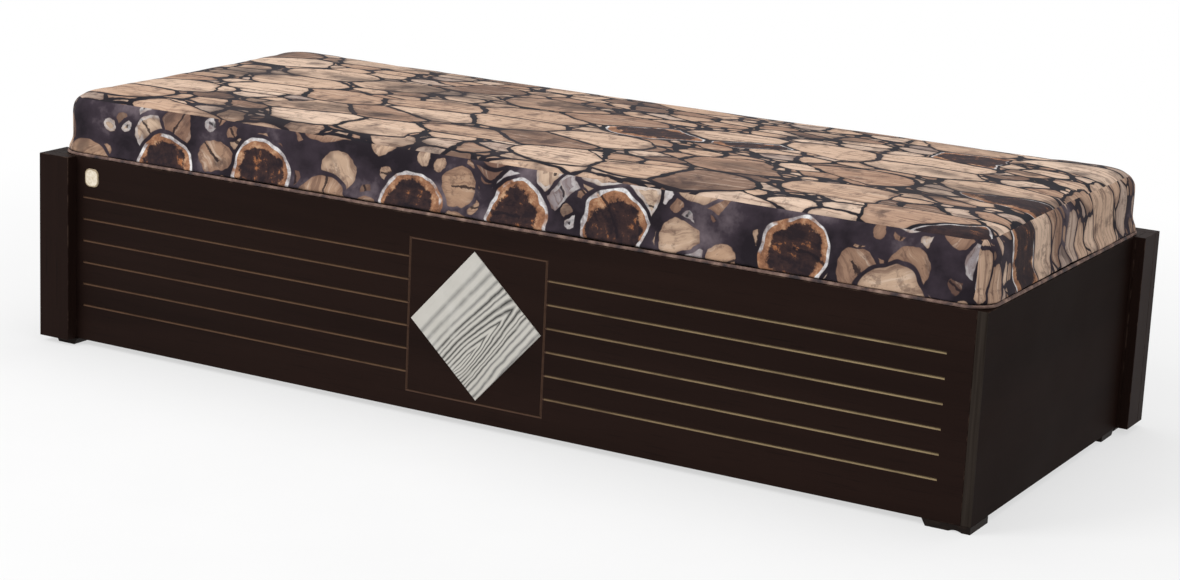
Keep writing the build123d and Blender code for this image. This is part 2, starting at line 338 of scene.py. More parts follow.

# %% [markdown]
# ## The edge that shows at the corner
#
# The end panel's front edge is covered by a thin edge band, a shade greyer and lighter than the foil. It shows
# as a narrow upright strip at the near corner. The band has no solid of its own, so a mask on the object's
# place picks the last millimetres of the board. The rest of the end panel turns away from the light, so its
# colour is painted darker than the front, as painted shade.

# %% End panel material
band_start = 0.3795  # how far from the bed's middle the edge band begins


def end_panel_material(node, side):
    paint = new_paint("laminate_" + node)
    colour, pores = laminate_base(paint, "y", node)
    x, y, z = paint.split(paint.place())
    band = (y * side).above(band_start)
    streak = paint.noise(paint.join(x * 160.0, 0.0, z * 5.0), 1.0, 3.0)
    edge = paint.ramp(streak, (0.3, seen(38, 32, 28)), (0.7, seen(58, 51, 46)))
    # painted shade: the end panel's whole colour is darkened, as it faces away from the lamps
    colour = paint.blend(0.35, colour, seen(13, 7, 5))
    colour = paint.blend(band, colour, edge)
    return laminate_finish(paint, colour, pores, band * -0.08, 0.015)


# %% [markdown]
# ## The silver diamond
#
# The plate is covered with a pale wood-grain foil, the look of a board cut through its heart. On one side of
# a slanting axis the grain runs in soft parallel lines, and close to the axis dark lines meet in nested
# arrowheads. One number does it all: the distance from the axis, plus a share of the distance along it that
# fades away from the axis. Where that number is constant lies one grain line, so a ramp with a dark stop for
# every line draws the whole figure. The plate's cut sides are paler than its face.

# %% Inlay material
grain_lines = (
    # distance in millimetres, half width in millimetres, grey
    (-23, 3.4, 60), (-11, 4.4, 26), (1, 3.4, 40), (11, 4.2, 20), (22, 5.0, 16), (33, 2.8, 84), (42, 4.6, 28),
    (56, 4.6, 112), (73, 6.0, 104), (92, 6.5, 120),
)
ramp_start = 30  # millimetres before the axis at which the colour ramp begins
ramp_span = 150  # millimetres that it covers
print("grain lines", len(grain_lines), "ramp stops", 1 + 3 * len(grain_lines))


def grain_stops(pale):
    """Stops for a ramp: pale, then down to a line's grey and back again for every grain line."""
    stops = [(0.0, pale)]
    for place, half, grey in grain_lines:
        line = seen(grey, grey * 0.985, grey * 0.965)
        for step, tone in ((-1, pale), (0, line), (1, pale)):
            stops.append(((place + step * half + ramp_start) / ramp_span, tone))
    return stops


def inlay_material():
    paint = new_paint("silver_wood_grain")
    x, _, z = paint.split(paint.place())
    wander = paint.noise(paint.place(), 14.0, 2.0) - 0.5
    lean = math.radians(49)
    dx = x - 0.0386 + wander * 0.010
    dz = z - frame_middle - 0.003
    along = dx * math.cos(lean) + dz * math.sin(lean)
    off = dz * math.cos(lean) - dx * math.sin(lean)
    right_side = off.below(0.0)
    near = abs(off) * (1 + right_side * 0.35)
    spread = paint.math("EXPONENT", near * -34.0) * 0.30
    line = near + (along.most(-0.075) - 0.012) * spread + wander * 0.012
    line = line + (paint.noise(paint.place(), 60.0, 3.0) - 0.5) * 0.0030
    share = line / (ramp_span / 1000) + ramp_start / ramp_span
    figure = paint.ramp(share, *grain_stops(seen(205, 201, 193)))
    strong = paint.fade(paint.noise(paint.place(), 26.0, 3.0), 0.30, 0.52)
    ground = paint.noise(paint.join(along * 40.0, off * 420.0, 2.0), 1.0, 4.0)
    cloud = paint.noise(paint.place(), 22.0, 3.0)
    plain = paint.ramp(cloud, (0.3, seen(186, 183, 174)), (0.7, seen(212, 209, 203)))
    plain = paint.blend(paint.fade(ground, 0.5, 0.75) * 0.35, plain, seen(150, 148, 142))
    soft = paint.fade(off, 0.042, 0.062) * 0.30
    colour = paint.blend((0.60 + strong * 0.40) * (1 - soft), plain, figure)
    rim = abs(paint.normal()[1]).below(0.7)
    colour = paint.blend(rim, colour, seen(226, 222, 212))
    return paint.finish(colour, 0.40 + ground * 0.14, ground, 0.15, 0.0002, Specular_IOR_Level=0.25)


# %% [markdown]
# ## Timber inside
#
# Slats, cleats, bearers and legs are plain softwood, planed on the slats and left rougher elsewhere. Rings cut
# lengthwise show as long stripes. A single stretched noise looks like brushed paint, so a first one shifts a
# second one, and the stripes drift and pinch. A few darker knots are small Voronoi cells.

# %% Softwood recipe


def softwood(name, axis, light, dark, rough):
    paint = new_paint(name)
    drift = paint.noise(stretched(paint, axis, 1.2, 6.0), 1.0, 2.0)
    x, y, z = paint.split(stretched(paint, axis, 1.0, 60.0))
    moved = paint.join(x + drift * 9.0, y + drift * 9.0, z + drift * 9.0)
    rings = paint.noise(moved, 1.0, 2.0, 0.5)
    fibre = paint.noise(stretched(paint, axis, 12.0, 900.0), 1.0, 3.0)
    colour = paint.ramp(rings, (0.35, dark), (0.62, light))
    colour = paint.blend(fibre * 0.3, colour, dark)
    inputs = {"Vector": stretched(paint, axis, 3.5, 12.0), "Scale": 1.0}
    cells = paint.node("ShaderNodeTexVoronoi", {}, inputs)
    knot = paint.fade(paint.out(cells, "Distance"), 0.16, 0.06)
    colour = paint.blend(knot * 0.8, colour, seen(96, 60, 34))
    return paint.finish(colour, 0.62 + fibre * rough, rings + fibre * 0.5, 0.3, 0.0004)


slat_wood = softwood("slat_softwood", "y", seen(216, 182, 136), seen(186, 146, 98), 0.1)
rail_wood, side_wood, post_wood = (
    softwood(name, axis, seen(205, 168, 120), seen(170, 128, 82), 0.2)
    for name, axis in (("rail_softwood", "x"), ("side_softwood", "y"), ("post_softwood", "z"))
)
print("timber:", [wood.name for wood in (slat_wood, rail_wood, side_wood, post_wood)])

# %% [markdown]
# ## Small materials
#
# Moulded plastic has a fine spark-eroded texture, galvanised wire and zinc are dull grey with clouds in
# them, rubber is almost black, and the badge is a small plate of champagne enamel with a thin bronze rim. All
# of them are small in the picture, so two or three noises each are enough.

# %% Plastic, metals and rubber


def plastic_material():
    paint = new_paint("moulded_plastic")
    grain = paint.noise(paint.place(), 1600.0, 2.0)
    scuff = paint.noise(paint.place(), 60.0, 4.0)
    colour = paint.ramp(scuff, (0.4, seen(24, 17, 14)), (0.75, seen(42, 32, 26)))
    return paint.finish(colour, 0.5 + scuff * 0.2, grain, 0.2, 0.0002, Specular_IOR_Level=0.1)


def grey_metal_material(name, low, high, roughness):
    paint = new_paint(name)
    clouds = paint.noise(paint.place(), 220.0, 4.0)
    colour = paint.ramp(clouds, (0.35, low), (0.7, high))
    return paint.finish(colour, roughness + clouds * 0.15, clouds, 0.15, 0.0002, Metallic=1.0)


def badge_material():
    """The rim follows a square with very round corners, where the cubes of two distances add up."""
    paint = new_paint("champagne_badge")
    x, y, z = paint.split(paint.place())
    low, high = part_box("badge")
    wide = abs(x - (low.x + high.x) / 2) / ((high.x - low.x) / 2)
    tall = abs(z - (low.z + high.z) / 2) / ((high.z - low.z) / 2)
    rim = paint.fade(paint.math("POWER", wide, 3.0) + paint.math("POWER", tall, 3.0), 0.55, 0.75)
    brushed = paint.noise(paint.join(x * 60.0, y * 900.0, z * 2200.0), 1.0, 3.0)
    mottle = paint.noise(paint.place(), 190.0, 3.0)
    colour = paint.ramp(mottle, (0.3, seen(214, 198, 170)), (0.7, seen(246, 236, 218)))
    colour = paint.blend(rim * 0.8, colour, seen(140, 118, 84))
    return paint.finish(colour, 0.30 + brushed * 0.2, brushed, 0.2, 0.0001, Metallic=0.25)


def rubber_material():
    paint = new_paint("black_rubber")
    dust = paint.noise(paint.place(), 300.0, 4.0)
    colour = paint.ramp(dust, (0.4, seen(20, 20, 20)), (0.8, seen(52, 50, 48)))
    return paint.finish(colour, 0.75 + dust * 0.15, dust, 0.2, 0.0002)


plastic = plastic_material()
staple_steel = grey_metal_material("galvanised_wire", seen(140, 142, 144), seen(190, 192, 194), 0.35)
cam_zinc = grey_metal_material("cast_zinc", seen(128, 130, 133), seen(172, 174, 176), 0.45)
print("materials so far:", len(bpy.data.materials))

# %% [markdown]
# ## Dressing the frame
#
# Each board keeps its packed shape and only gets a finish. Two tables do it: one for whole names, and one for
# the ends of names, because the sliding box and the fixed box have the same pieces. The grain of a board runs
# its long way.

# %% Give every node its finish


def dress(node, material):
    shape = nodes[node]
    if not shape.material_slots:
        shape.data.materials.append(material)
    for place in shape.material_slots:
        place.material = material


finishes = {
    "back_panel": laminate("back_panel", "x"),
    "front_panel": front_panel_material(),
    "diamond_inlay": inlay_material(),
    "badge": badge_material(),
    "stop_buffers": rubber_material(),
    "sliding_end_panel": end_panel_material("sliding_end_panel", -1),
    "fixed_end_panel": end_panel_material("fixed_end_panel", 1),
}
for box_side in ("sliding", "fixed"):
    finishes[box_side + "_inner_panel"] = laminate(box_side + "_inner_panel", "y")
    for board in ("post_face", "post_return", "post_core"):
        finishes[box_side + "_" + board] = laminate(box_side + "_" + board, "z")
endings = {
    "corner_batten": post_wood,
    "centre_leg": post_wood,
    "cleat": rail_wood,
    "bearer": rail_wood,
    "runner": side_wood,
    "slat_staples": staple_steel,
    "cam_locks": cam_zinc,
    "cam_bolts": cam_zinc,
    "corner_foot": plastic,
    "post_glide": plastic,
    "board_glides": plastic,
}
for node in nodes:
    ending = node.split("_", 1)[-1]
    if node in finishes:
        dress(node, finishes[node])
    elif ending in endings:
        dress(node, endings[ending])
    elif "_slat_" in node:
        dress(node, slat_wood)
    else:
        print("left for later:", node)

# %% [markdown]
# ## The mattress as a filled cover
#
# A mattress is a cover sewn tight round a slab. Its sides are almost upright, its edges are round, its top
# has a slight crown, and the cover ripples a little where it is pulled round the corners. A box with rounded
# edges would look like plastic, so the shape starts as a slab a few millimetres too small, which is blown up
# later. The slab is a pile of level outlines: four turn the bottom edge, seven turn the shoulder, and three
# make the crown.

# %% Mattress measures
mattress_low, mattress_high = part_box("mattress")
half_long = (mattress_high.x - mattress_low.x) / 2
half_deep = (mattress_high.y - mattress_low.y) / 2
under = mattress_low.z
side_height = 0.119
crown = mattress_high.z - under - side_height
corner_radius = 0.045  # of the outline in plan
arc_steps = 10  # points round one corner
print("mattress", [round(2 * v, 3) for v in (half_long, half_deep)], "under", round(under, 4))

# %% One level of the slab


def ring(inset, height, pull=0.005, runs=(40, 18)):
    """One level of the slab: round corners, and long and short sides that draw in a little between them."""
    flat_x = half_long - inset - corner_radius
    flat_y = half_deep - inset - corner_radius
    points = []
    for quarter, (right, back) in enumerate(((1, 1), (-1, 1), (-1, -1), (1, -1))):
        for k in range(arc_steps + 1):
            angle = quarter * math.pi / 2 + k / arc_steps * math.pi / 2
            points.append((flat_x * right + corner_radius * math.cos(angle),
                           flat_y * back + corner_radius * math.sin(angle), height))
        start_x, start_y, _ = points[-1]
        count = runs[quarter % 2]
        for k in range(1, count):
            share = k / count
            dip = pull * math.sin(math.pi * share)
            if quarter % 2 == 0:
                points.append((start_x - back * 2 * flat_x * share, start_y - dip * back, height))
            else:
                points.append((start_x - dip * right, start_y + right * 2 * flat_y * share, height))
    return points


print("points round a level:", len(ring(0, under)))

# %% The whole slab


def add_object(name, data):
    made = bpy.data.objects.new(name, data)
    bpy.context.scene.collection.objects.link(made)
    return made


def closed_piece(name, bm):
    """Turns a bmesh whose faces close it all round into an object."""
    bmesh.ops.recalc_face_normals(bm, faces=bm.faces)
    mesh = bpy.data.meshes.new(name)
    bm.to_mesh(mesh)
    bm.free()
    return add_object(name, mesh)


def slab(name, shrink):
    """A closed slab, smaller than its place by shrink all round."""
    levels = []  # how far each outline lies inside the mattress's own, and its height
    edge = 0.004
    shoulder = 0.030
    crown_run = 0.27
    for step in range(4):
        angle = math.radians(30 * step)
        levels.append((shrink + edge * (1 - math.sin(angle)), under + shrink + edge * (1 - math.cos(angle))))
    top = under + side_height - shrink
    for step in range(7):
        angle = math.radians(15 * step)
        levels.append((shrink + shoulder * (1 - math.cos(angle)), top - shoulder * (1 - math.sin(angle))))
    for share in (0.33, 0.67, 1.0):
        rise = crown * math.sin(math.radians(90 * share))
        levels.append((shrink + shoulder + crown_run * share, top + rise * 0.8))
    bm = bmesh.new()
    rows = [[bm.verts.new(p) for p in ring(inset, height)] for inset, height in levels]
    for low, high in zip(rows, rows[1:]):
        for i in range(len(low)):
            j = (i + 1) % len(low)
            bm.faces.new((low[i], low[j], high[j], high[i]))
    bm.faces.new(list(reversed(rows[0])))
    bm.faces.new(rows[-1])
    return closed_piece(name, bm)


start_gap = 0.004
mattress = slab("mattress_cover", start_gap)
print("slab of", len(mattress.data.vertices), "points, corner radius", corner_radius)

# %% [markdown]
# ## Blowing up the cover
#
# The slab's long thin faces can't bend well, so a voxel remesh first gives it even small squares. Then a cloth
# simulation with a little air pressure inside fills it, as stuffing fills a cover. A mattress is firm, and
# pressure alone would turn it into a balloon, so no point may move further than a cap.

# %% Helpers for meshes


def settle(piece, modifier):
    """Applies what a modifier makes of the mesh."""
    graph = bpy.context.evaluated_depsgraph_get()
    mesh = bpy.data.meshes.new_from_object(piece.evaluated_get(graph))
    piece.modifiers.remove(modifier)
    old = piece.data
    piece.data = mesh
    bpy.data.meshes.remove(old)


def at_points(piece, key):
    """One row of three numbers per point: its place for "co", or the way it faces for "normal"."""
    out = np.zeros(len(piece.data.vertices) * 3)
    piece.data.vertices.foreach_get(key, out)
    return out.reshape(-1, 3)


def put_points(piece, spots):
    piece.data.vertices.foreach_set("co", spots.ravel())
    piece.data.update()


slab_points = at_points(mattress, "co")
print("slab from", slab_points.min(axis=0).round(3), "to", slab_points.max(axis=0).round(3))

# %% Remesh and inflate
voxel_size = 0.0085
air_pressure = 4.0
move_cap = 0.006


def remesh(piece, voxel):
    modifier = piece.modifiers.new("remesh", "REMESH")
    modifier.mode = "VOXEL"
    modifier.voxel_size = voxel
    settle(piece, modifier)


def inflate(piece, pressure, cap, frames=20):
    """Blows the cover up and lets no point move further than the cap."""
    start = at_points(piece, "co")
    modifier = piece.modifiers.new("cover", "CLOTH")
    settings = modifier.settings
    settings.quality = 4
    settings.mass = 0.25
    settings.tension_stiffness = 12
    settings.compression_stiffness = 12
    settings.bending_stiffness = 1.5
    settings.use_pressure = True
    settings.uniform_pressure_force = pressure
    settings.effector_weights.gravity = 0
    modifier.collision_settings.use_self_collision = False
    scene = bpy.context.scene
    for number in range(1, frames + 1):
        scene.frame_set(number)
    settle(piece, modifier)
    scene.frame_set(1)
    moved = at_points(piece, "co") - start
    length = np.linalg.norm(moved, axis=1, keepdims=True)
    moved *= np.minimum(1, cap / np.maximum(length, 1e-9))
    put_points(piece, start + moved)
    print("cover moved", round(float(length.mean()), 4), "m on average, cap", cap)


remesh(mattress, voxel_size)
print("mattress points", len(mattress.data.vertices))
inflate(mattress, air_pressure, move_cap)

# %% [markdown]
# ## Tuck, waves and puckers
#
# The simulation leaves the large shape. Three small things are done by hand on every point. The lowest part
# of the sides is pulled out to the seam, because the cover is sewn to its piping there. Slow, shallow waves
# go all over the cover. Short puckers stand along the bottom seam and along the top edge, where the cloth
# turns. The underside stays flat on the slats.

# %% Tuck, waves and puckers
piping_radius = 0.0030
seam_gap = 0.0032  # how far inside the outline the cover meets its piping
seam_height = 0.014
lip_height = 0.100


def outline_gap(spots):
    """How far each point lies inside the mattress outline, and the direction out of it."""
    flat = np.array((half_long - corner_radius, half_deep - corner_radius))
    over = np.abs(spots[:, :2]) - flat
    past = np.maximum(over, 0)
    length = np.linalg.norm(past, axis=1)
    gap = corner_radius - length - np.minimum(np.max(over, axis=1), 0)
    axis = np.zeros_like(past)
    axis[np.arange(len(over)), np.argmax(over, axis=1)] = 1
    outward = np.where(length[:, None] > 1e-6, past / np.maximum(length[:, None], 1e-6), axis)
    return gap, outward * np.sign(spots[:, :2])


def sew(piece):
    """Pulls the lowest part of the sides out to the seam and ripples the cloth."""
    spots = at_points(piece, "co")
    up = spots[:, 2] - under
    gap, outward = outline_gap(spots)
    tuck = np.clip((0.032 - up) / 0.022, 0, 1) * np.clip((up - 0.0015) / 0.002, 0, 1)
    tuck *= np.clip((0.030 - gap) / 0.010, 0, 1)
    tuck = tuck * tuck * (3 - 2 * tuck)
    spots[:, :2] += outward * ((gap - seam_gap) * tuck)[:, None]
    normals = at_points(piece, "normal")
    for i, (x, y, z) in enumerate(spots):
        height = z - under
        run = x + y * 1.3
        bump = noise.noise(Vector((x * 5.0, y * 5.0, z * 5.0))) * 0.0014
        seam = math.exp(-((height - seam_height) / 0.012) ** 2)
        bump += noise.noise(Vector((run * 60.0, 3.7, height * 12.0))) * 0.0012 * seam
        lip = math.exp(-((height - lip_height) / 0.014) ** 2)
        bump += noise.noise(Vector((run * 30.0, 9.1, height * 9.0))) * 0.0010 * lip
        spots[i] += normals[i] * bump
    lowest = np.array(mattress_low) + np.array((0, 0, 0.0002))
    highest = np.array(mattress_high) + np.array((0, 0, 0.004))
    put_points(piece, np.clip(spots, lowest, highest))
    print("points tucked to the seam", int((tuck > 0).sum()))


sew(mattress)
finer = mattress.modifiers.new("finer", "SUBSURF")
finer.levels = 1
finer.render_levels = 1
settle(mattress, finer)
for face in mattress.data.polygons:
    face.use_smooth = True
print("mattress faces", len(mattress.data.polygons))

# %% [markdown]
# ## A print of slabs, pebbles and log ends
#
# The cover is printed like a photograph of stacked wood. Its top shows long flat tan slabs, packed tight with
# thin near-black gaps. Its sides show round log ends and pebbles on a smoky dark ground. Voronoi cells are the
# natural start: each cell is one stone, its random colour picks its wood, and the distance to its border draws
# the gap. Three sizes of cells lie on each other, and each larger size leaves some cells out, so that the
# smaller ones show between them.
#
# A printed cloth would be unwrapped flat, but the cover has no seams to cut it at. So the print has its own
# flat coordinates: the plan on top, and round the sides the way along the outline and the height.

# %% Where the print lies
top_print_edge = under + side_height - 0.011  # the top's print reaches over the shoulder down to here
side_middle = under + 0.062
end_depth = 0.030  # how far from the bed's end its upright slabs begin


def print_layout(paint):
    """Flat coordinates u and v in metres, and masks for the top and for the ends' upright sides."""
    x, y, z = paint.split(paint.place())
    flat_x = half_long - corner_radius
    flat_y = half_deep - corner_radius
    over_x = (abs(x) - flat_x).most(0.0)
    over_y = (abs(y) - flat_y).most(0.0)
    bend = paint.math("ARCTAN2", over_x, over_y) * corner_radius
    quarter = abs(x).least(flat_x) + bend + (flat_y - abs(y).least(flat_y))
    whole = flat_x + corner_radius * math.pi / 2 + flat_y
    back = y.above(0.0)
    run = (quarter + back * (2 * whole - 2 * quarter)) * paint.math("SIGN", x)
    top = z.above(top_print_edge)
    u = run + top * (x - run)
    height = z - side_middle
    v = height + top * (y - height)
    end = abs(x).above(half_long - end_depth) * (1 - top)
    return u, v, top, end


print("heights: middle of the side print", round(side_middle, 4), "top print from", round(top_print_edge, 4))

# %% [markdown]
# ## Layers of stones
#
# One layer is one size of Voronoi cells. A cell's border gives straight-sided stones with even gaps. The
# distance from its centre gives a round limit, and where that is shorter than the border, the stone is a
# pebble. On the top and the ends the cells are packed, on the long sides they lie loose. Working out the look
# of a stone takes many nodes, so it is done once: the layers only say how deep inside which stone a point
# lies, and the uppermost stone wins.

# %% One layer of stones
top_flattening = 0.9  # the top's stones are long in x
end_narrowing = 0.8  # the ends' stones are upright
end_lengthening = 0.15


def stones(paint, layout, scale, ragged, missing, reach, loose=(0.85, 0.85)):
    """Which stone of a layer a point is in: depth inside it, share of its radius, chances and local place.

    Pairs hold a value for packed stones and one for loose stones: the share left out, the reach of a stone from
    its centre in cells, and how loosely the centres are strewn.
    """
    u, v, top, end = layout
    packed = top + end

    def by_packing(pair):
        return pair[1] + packed * (pair[0] - pair[1])

    squeezed = v * (1 + top * top_flattening - end * end_lengthening) + 0.5 / scale
    spot = paint.join(u * (1 + end * end_narrowing), squeezed, scale)
    jog = paint.noise(spot, scale * 1.3, 3.0, 0.6, "Color")
    spot = paint.shift(spot, jog, ragged)
    inputs = {"Vector": spot, "Scale": scale, "Randomness": by_packing(loose)}
    plane = {"voronoi_dimensions": "2D"}
    cell = paint.node("ShaderNodeTexVoronoi", plane, inputs)
    rim = paint.node("ShaderNodeTexVoronoi", {**plane, "feature": "DISTANCE_TO_EDGE"}, inputs)
    far = paint.out(cell, "Distance")
    radius = by_packing(reach)
    depth = paint.out(rim, "Distance").least(radius - far) / scale
    chance = paint.out(cell, "Color")
    kind, tint, luck = paint.split(chance)
    draw = (kind * 7.0 + luck * 5.0 + tint * 3.0).math("FRACT")
    gone = draw.below(by_packing(missing))
    local = paint.vector_math("SUBTRACT", {0: spot, 1: paint.out(cell, "Position")})
    return depth - gone, far / radius, chance, local


def uppermost(paint, lower, upper):
    """Lays one layer over another. Near an upper stone's outside the lower stones end in its gap."""
    mask = upper[0].above(0.0)
    clear = lower[0].least(0 - upper[0])
    below = (clear, *lower[1:])
    kinds = ("FLOAT", "FLOAT", "VECTOR", "VECTOR")
    return tuple(paint.blend(mask, a, b, kind) for a, b, kind in zip(below, upper, kinds))


end_ratio = (1 + end_narrowing) / (1 - end_lengthening)
print("length to width of stones: top", 1 + top_flattening, "ends", round(end_ratio, 2))

# %% [markdown]
# ## The look of a stone
#
# On the top and the ends a stone is a slab of split wood: grain lines run along it, and it darkens towards its
# border. On the sides the largest stones are log ends, with a dark speckled heart, a paler ring of sapwood and
# white peeling bark, and the rest are pebbles. The cell's random colour gives each stone its wood, its turn
# and its cracks.

# %% The look of a stone
full_turn = 6.283
quarter_turn = 1.571


def stone_colour(paint, layout, stone, large):
    """The colour inside a stone. Large is 1 in the stones of the largest layer."""
    u, v, top, end = layout
    tight = top + end
    depth, share, chance, local = stone
    kind, tint, luck = paint.split(chance)
    flat = paint.join(u, v, 0.0)
    mottle = paint.noise(flat, 36.0, 6.0, 0.72)
    blotch = paint.noise(paint.join(u, v, tint * 9.0), 13.0, 3.0)
    turn = (luck - 0.5) * (full_turn - tight * 5.9) + end * quarter_turn
    cosine = paint.math("COSINE", turn)
    sine = paint.math("SINE", turn)
    here_x, here_y, _ = paint.split(local)
    run = here_x * cosine + here_y * sine
    across = here_y * cosine - here_x * sine
    grain = paint.noise(paint.join(run * 9.0 + kind * 31.0, across * 75.0, tint * 17.0), 1.0, 6.0, 0.68)

    packed = paint.ramp(kind, (0.0, seen(108, 86, 76)), (0.2, seen(172, 138, 116)), (0.5, seen(204, 172, 148)),
                        (0.8, seen(224, 196, 174)), (1.0, seen(158, 140, 132)))
    loose = paint.ramp(kind, (0.0, seen(70, 54, 52)), (0.2, seen(128, 98, 84)), (0.45, seen(184, 150, 124)),
                       (0.7, seen(208, 184, 162)), (0.85, seen(206, 200, 202)), (1.0, seen(150, 140, 142)))
    colour = paint.blend(tight, loose, packed)
    colour = paint.blend(paint.fade(grain, 0.50, 0.64) * 0.62, colour, seen(104, 78, 68))
    colour = paint.blend(paint.fade(grain, 0.46, 0.32) * 0.45, colour, seen(234, 212, 192))
    colour = paint.blend(paint.fade(mottle, 0.52, 0.62) * 0.50, colour, seen(84, 64, 60))
    colour = paint.blend(paint.fade(blotch, 0.56, 0.68) * 0.62, colour, seen(58, 46, 48))
    colour = paint.blend(paint.fade(depth, 0.016, 0.002) * 0.45, colour, seen(104, 76, 66))

    uneven = share + (mottle - 0.5) * 0.55 + (blotch - 0.5) * 0.5
    sapwood = paint.ramp(mottle, (0.36, seen(96, 66, 52)), (0.52, seen(158, 112, 84)),
                         (0.66, seen(206, 166, 132)))
    speckle = mottle + (grain - 0.5) * 0.5
    heart = paint.ramp(speckle, (0.42, seen(42, 33, 37)), (0.60, seen(66, 48, 46)), (0.68, seen(164, 108, 72)))
    log_end = paint.blend(paint.fade(uneven, 0.74, 0.66), sapwood, heart)
    log = large * tint.above(0.22) * (1 - tight * kind.below(0.86))
    colour = paint.blend(log, colour, log_end)

    crooked = abs(across + (mottle - 0.5) * 0.018)
    crack = paint.fade(crooked, 0.0036, 0.0014) * run.above(-0.012) * (1 - tight) * luck.above(0.35)
    colour = paint.blend(crack * 0.9, colour, seen(36, 29, 34))
    peeling = paint.fade(paint.noise(flat, 17.0, 3.0), 0.40, 0.50)
    width = 0.005 + paint.noise(flat, 30.0, 2.0) * 0.010
    barked = (log * 0.95 + (1 - tight) * kind.above(0.62) * 0.5).least(1.0)
    bark = (depth - width).below(0.0) * peeling * barked
    pale = paint.ramp(mottle, (0.40, seen(150, 140, 140)), (0.60, seen(236, 234, 234)))
    return paint.blend(bark, colour, pale)


print("a loose stone turns by up to", round(math.degrees(full_turn / 2)), "degrees either way")

# %% [markdown]
# ## The whole print
#
# Under the stones lies the ground: a smoky purple-brown on the sides and almost black in the top's gaps. Large
# dark clouds dim parts of the top, like shadows in the printed picture. The underside is a plain pale lining,
# and over everything goes a fine weave as a bump.

# %% The whole print
lining_height = 0.0022
thread_pitch = 5200.0  # radians of weave per metre


def print_material():
    paint = new_paint("slab_and_log_print")
    layout = print_layout(paint)
    u, v, top, _ = layout
    # cells per metre, raggedness, share left out and reach, both for packed and for loose stones
    small = stones(paint, layout, 27.0, 0.016, (0.15, 0.50), (0.60, 0.46))
    medium = stones(paint, layout, 11.5, 0.034, (0.12, 0.40), (0.62, 0.46))
    large = stones(paint, layout, 5.4, 0.050, (0.42, 0.22), (0.62, 0.375), (0.85, 0.42))
    stone = uppermost(paint, uppermost(paint, small, medium), large)
    wood = stone_colour(paint, layout, stone, large[0].above(0.0))
    smoke = paint.noise(paint.join(u, v, 5.0), 8.0, 5.0, 0.6)
    side_ground = paint.ramp(smoke, (0.40, seen(34, 28, 34)), (0.55, seen(58, 49, 57)),
                             (0.70, seen(112, 100, 106)))
    top_ground = paint.ramp(smoke, (0.40, seen(16, 15, 23)), (0.65, seen(44, 39, 45)))
    colour = paint.blend(top, side_ground, top_ground)
    gap = 0.0030 + top * 0.0022
    colour = paint.blend(paint.fade(stone[0] - gap, 0.0, 0.002), colour, wood)
    cloud = paint.noise(paint.join(u, v * 2.0, 9.0), 3.2, 4.0, 0.6)
    colour = paint.blend(paint.fade(cloud, 0.50, 0.70) * top * 0.75, colour, seen(48, 41, 44))
    x, y, z = paint.split(paint.place())
    lining = paint.noise(paint.place(), 240.0, 2.0)
    base = paint.ramp(lining, (0.35, seen(128, 120, 112)), (0.65, seen(156, 148, 138)))
    colour = paint.blend(z.below(under + lining_height), colour, base)
    weave = paint.math("SINE", x * thread_pitch) * paint.math("SINE", y * thread_pitch + z * thread_pitch)
    slub = paint.noise(paint.place(), 700.0, 2.0)
    return paint.finish(colour, 0.80 + slub * 0.1, weave * 0.4 + slub, 0.12, 0.0003,
                        Sheen_Weight=0.03, Specular_IOR_Level=0.10)


mattress.data.materials.append(print_material())
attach(mattress, "mattress")
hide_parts("mattress")
print("nodes in the print's material:", len(mattress.data.materials[0].node_tree.nodes))

# %% [markdown]
# ## Piping
#
# A thin cord covered in a brown cloth runs round the bottom seam. It could be a Blender curve with a bevel, but
# a mesh is simple enough: a small round section carried along the same outline as the slab's.

# %% Bottom piping
tube_sides = 8


def tube(name, path, radius):
    """A closed round cord along a flat path."""
    bm = bmesh.new()
    rows = []
    upright = Vector((0, 0, 1))
    for i, point in enumerate(path):
        ahead = Vector(path[(i + 1) % len(path)]) - Vector(path[i - 1])
        outward = ahead.normalized().cross(upright).normalized()
        row = []
        for k in range(tube_sides):
            angle = 2 * math.pi * k / tube_sides
            aside = Vector(point) + outward * math.cos(angle) * radius
            row.append(bm.verts.new(aside + upright * (math.sin(angle) * radius)))
        rows.append(row)
    for a, b in zip(rows, rows[1:] + rows[:1]):
        for k in range(tube_sides):
            after = (k + 1) % tube_sides
            bm.faces.new((a[k], a[after], b[after], b[k]))
    piece = closed_piece(name, bm)
    for face in piece.data.polygons:
        face.use_smooth = True
    return piece


def piping_material():
    paint = new_paint("piping_cloth")
    tone = paint.noise(paint.place(), 45.0, 3.0)
    twill = paint.noise(paint.place(), 900.0, 2.0)
    colour = paint.ramp(tone, (0.35, seen(52, 42, 44)), (0.5, seen(104, 80, 72)), (0.7, seen(160, 132, 118)))
    return paint.finish(colour, 0.85, twill, 0.2, 0.0003)


seam_path = ring(piping_radius, under + piping_radius, pull=0.0, runs=(120, 50))
piping = tube("mattress_piping", seam_path, piping_radius)
piping.data.materials.append(piping_material())
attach(piping, "mattress")
print("piping of", len(seam_path), "sections")

# %% [markdown]
# ## Floor and sky
#
# The floor is plain and pale. Near the bed the camera sees the lit floor with the bed's shadow, lifted towards
# white, and further out it turns into pure white, which meets the white of the sky without a horizon. A
# brighter sky would give the same white, but would also flood the bed, so light that bounces sees a softer
# sky than the camera does.

# %% Floor and sky


